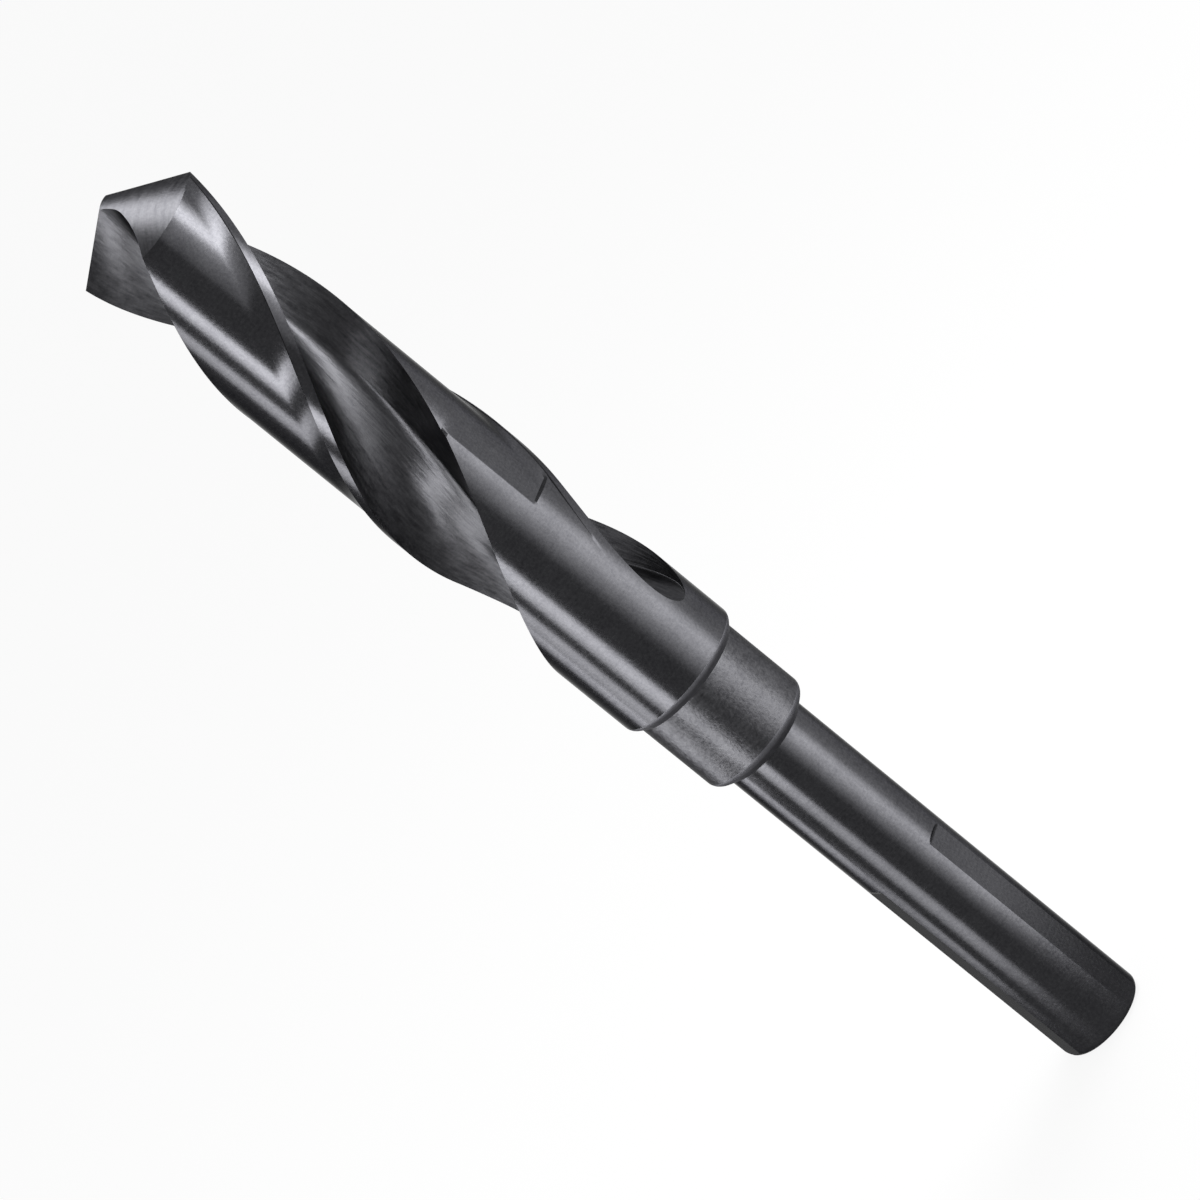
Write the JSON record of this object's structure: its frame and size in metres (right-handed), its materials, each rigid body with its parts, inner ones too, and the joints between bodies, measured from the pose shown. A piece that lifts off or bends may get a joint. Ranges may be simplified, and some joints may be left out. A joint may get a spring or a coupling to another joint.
{
  "type": "reduced-shank twist drill bit",
  "caption": "Twist drill bit for metal: helical flutes, relieved lands with ground margins, a conical point, a collar and a slimmer flatted shank for a chuck.",
  "frame": {"origin": "centre of the shank's end face, on the drill's axis", "axes": "+Z along the drill's axis from the shank's end towards the point; +X is the outward normal of the first of the three flats on the shank; +Y completes the right-handed frame"},
  "size_m": [0.018, 0.018, 0.1553],
  "materials": {
    "black_oxide_steel": "ground high-speed steel, blackened all over by an oxide bath, with a satin sheen"
  },
  "bodies": {
    "root": {"drill_bit": "black_oxide_steel"}
  },
  "joints": []
}
